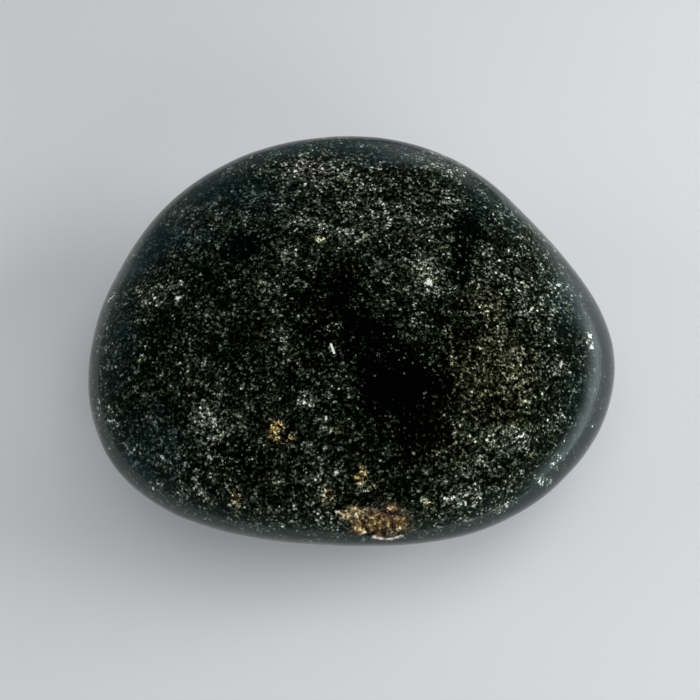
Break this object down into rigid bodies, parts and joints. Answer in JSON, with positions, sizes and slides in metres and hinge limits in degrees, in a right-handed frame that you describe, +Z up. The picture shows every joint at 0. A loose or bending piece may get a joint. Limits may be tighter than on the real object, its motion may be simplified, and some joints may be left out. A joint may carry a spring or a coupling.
{
  "type": "polished speckled palm stone",
  "caption": "Smooth polished palm stone of near-black speckled rock, egg-shaped from above, with a flat worn base and a small rusty pit in its front edge.",
  "frame": {"origin": "middle of the stone's bounding box, at the level of the flat it rests on", "axes": "+X along the stone's length towards its narrow end, +Y towards its back, +Z up"},
  "size_m": [0.08, 0.065, 0.026],
  "materials": {
    "polished_dark_rock": "near-black rock with a faint green cast, crowded with fine pale grains, polished to a wet gloss"
  },
  "bodies": {
    "root": {"polished_stone": "polished_dark_rock"}
  },
  "joints": []
}
